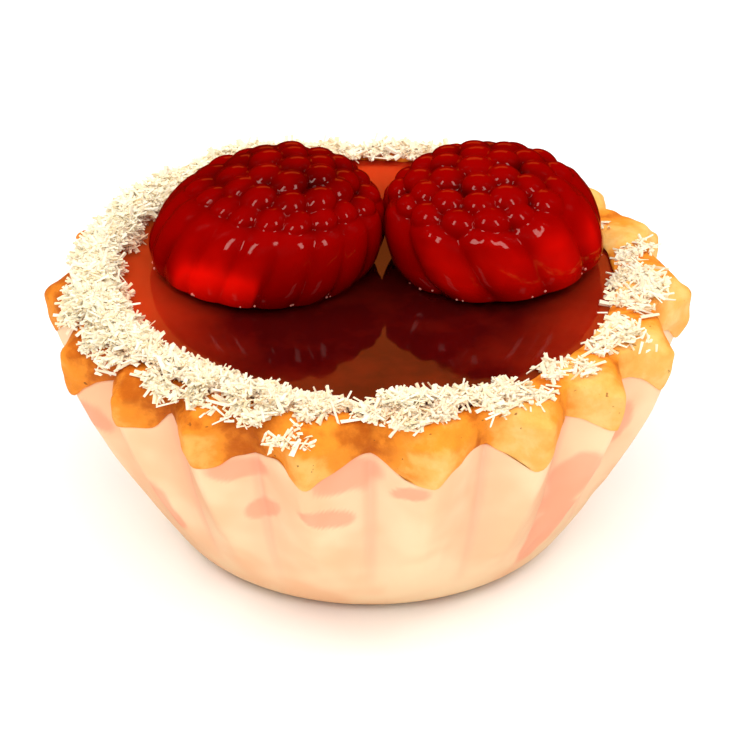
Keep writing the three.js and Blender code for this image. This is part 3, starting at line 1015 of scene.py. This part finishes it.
def coconut():
    rng = np.random.default_rng(12)
    centres = shred_places(rng)
    keep = clear_of_berries(centres)
    centres = centres[keep]
    points = strips(centres, rng)
    count = len(centres)
    radius = np.linalg.norm(points[..., :2], axis=-1)
    floor = np.where(radius < CAVITY_RADIUS, JELLY_LEVEL + 0.02, 26.0)
    points[..., 2] = np.maximum(points[..., 2], floor)
    piece = new_object("coconut_shreds", points.reshape(-1, 3), strip_faces(count), coconut_material())
    corners = points.shape[1] * points.shape[2]
    tone = np.repeat(rng.uniform(0, 1, count) ** 1.5, corners)
    add_attribute(piece, "tone", tone)
    # painted shade: shreds low in a thick pile, but not those down the rim's outer slope, are darkened
    height = centres[:, 2] - rim_surface(np.hypot(centres[:, 0], centres[:, 1]))
    full, _, _ = ring_at(np.degrees(np.arctan2(centres[:, 0], -centres[:, 1])))
    outside = smoothstep(np.hypot(centres[:, 0], centres[:, 1]), 30.6, 32)
    painted_pile_shade = (1 - smoothstep(height, 0.1, PAINTED_SHADE_DEPTH)) * np.clip(1.4 * full, 0, 1) * (1 - outside)
    add_attribute(piece, "painted_pile_shade", np.repeat(painted_pile_shade, corners))
    for polygon in piece.data.polygons:
        polygon.use_smooth = False
    piece.visible_glossy = False
    return piece


# ---- Beads at the berries' feet ----

def bead(centre, size):
    """A small round bead: its points and its faces."""
    sides = 8
    points = [centre - (0, 0, size)]
    for tilt in (-TURN / 8, 0, TURN / 8):
        for turn in np.arange(sides) / sides * TURN:
            way = (math.cos(tilt) * math.cos(turn), math.cos(tilt) * math.sin(turn), math.sin(tilt))
            points.append(centre + size * np.array(way))
    points.append(centre + (0, 0, size))
    return points, ring_faces(3, sides)


def beads(feet):
    """Beads of sugar along the front of the foot of each berry. "feet" holds rings of points."""
    rng = np.random.default_rng(5)
    points, faces = [], []
    for foot in feet:
        front = foot[foot[:, 1] < foot[:, 1].mean() - 2]
        for centre in front[rng.choice(len(front), BEADS_PER_BERRY, replace=False)]:
            start = len(points)
            new_points, new_faces = bead(centre, rng.uniform(*BEAD_RADIUS))
            points += new_points
            faces += [[start + corner for corner in face] for face in new_faces]
    piece = new_object("sugar_beads", points, faces, bead_material())
    return piece


# ---- Studio ----

def floor():
    mesh = bpy.data.meshes.new("floor")
    reach = 2.0
    low = -0.00005
    mesh.from_pydata(
        [(-reach, -reach, low), (reach, -reach, low), (reach, reach, low), (-reach, reach, low)],
        [],
        [(0, 1, 2, 3)],
    )
    shader = Shader("pale_floor")
    colour = shader.blend(shader.noise(60), (0.97, 0.97, 0.97), (1.0, 1.0, 1.0))
    shader.join(colour, "Base Color")
    shader.set("Roughness", 0.9)
    mesh.materials.append(shader.material)
    piece = bpy.data.objects.new("floor", mesh)
    piece.visible_glossy = False
    bpy.context.scene.collection.objects.link(piece)


def lamp(name, bearing, elevation, distance, size, power, seen_by="diffuse", colour=(1, 1, 1)):
    """A soft box aimed at the tartlet, that either lights it or is reflected. Sizes are in metres."""
    light = bpy.data.lights.new(name, "AREA")
    light.shape = "RECTANGLE"
    light.size, light.size_y = size
    light.energy = power
    light.color = colour
    stand = bpy.data.objects.new(name, light)
    turn, rise = math.radians(bearing), math.radians(elevation)
    way = Vector((math.sin(turn) * math.cos(rise), -math.cos(turn) * math.cos(rise), math.sin(rise)))
    target = Vector((0, 0, 0.025))
    stand.location = target + way * distance
    stand.rotation_euler = (-way).to_track_quat("-Z", "Y").to_euler()
    stand.visible_diffuse = seen_by == "diffuse"
    stand.visible_glossy = seen_by == "reflections"
    stand.visible_transmission = seen_by == "diffuse"
    bpy.context.scene.collection.objects.link(stand)


def room():
    """Even light all round, of which only a little is seen in reflections."""
    world = bpy.data.worlds.new("soft_room")
    world.use_nodes = True
    nodes = world.node_tree.nodes
    links = world.node_tree.links
    background = nodes["Background"]
    path = nodes.new("ShaderNodeLightPath")
    colour = nodes.new("ShaderNodeMix")
    colour.data_type = "RGBA"
    colour.inputs[6].default_value = (1, 0.99, 0.97, 1)
    colour.inputs[7].default_value = (*WARM_REFLECTION, 1)
    links.new(path.outputs["Is Glossy Ray"], colour.inputs[0])
    links.new(colour.outputs[2], background.inputs["Color"])
    strength = nodes.new("ShaderNodeMapRange")
    strength.inputs["To Min"].default_value = ROOM_LIGHT
    strength.inputs["To Max"].default_value = ROOM_REFLECTION
    links.new(path.outputs["Is Glossy Ray"], strength.inputs["Value"])
    links.new(strength.outputs["Result"], background.inputs["Strength"])
    bpy.context.scene.world = world


def lights():
    lamp("lamp_left", -100, 46, 0.9, (0.24, 0.5), 2.8)
    lamp("lamp_right", 96, 46, 0.9, (0.24, 0.5), 2.8)
    lamp("front_fill", 0, 42, 1.1, (0.9, 0.5), 5.3)
    lamp("top_fill", 0, 84, 1.2, (1.2, 1.2), 8)
    lamp("spark_left", -46, 46, 0.9, (0.16, 0.42), 1.2, "reflections", (1.0, 0.8, 0.72))
    lamp("spark_right", 42, 46, 0.9, (0.16, 0.42), 1.2, "reflections", (1.0, 0.8, 0.72))
    lamp("warm_card", 180, 31, 0.9, (0.5, 0.24), 0.5, "reflections", WARM_REFLECTION)
    room()


def camera():
    data = bpy.data.cameras.new("camera")
    data.sensor_width = 36
    data.lens = CAMERA_LENS
    data.shift_x = -0.0004
    viewer = bpy.data.objects.new("camera", data)
    rise = math.radians(CAMERA_RISE)
    target = Vector(CAMERA_TARGET)
    way = Vector((0, -math.cos(rise), math.sin(rise)))
    viewer.location = target + way * CAMERA_DISTANCE
    viewer.rotation_euler = (-way).to_track_quat("-Z", "Y").to_euler()
    bpy.context.scene.collection.objects.link(viewer)
    bpy.context.scene.camera = viewer


camera()
lights()
floor()
paper_case()
pastry()
jelly()
berry_look = berry_material()
feet = [berry_piece(berry, berry_look) for berry in (LEFT_BERRY, RIGHT_BERRY)]
coconut()
beads(feet)
bpy.context.scene.view_settings.view_transform = "Standard"
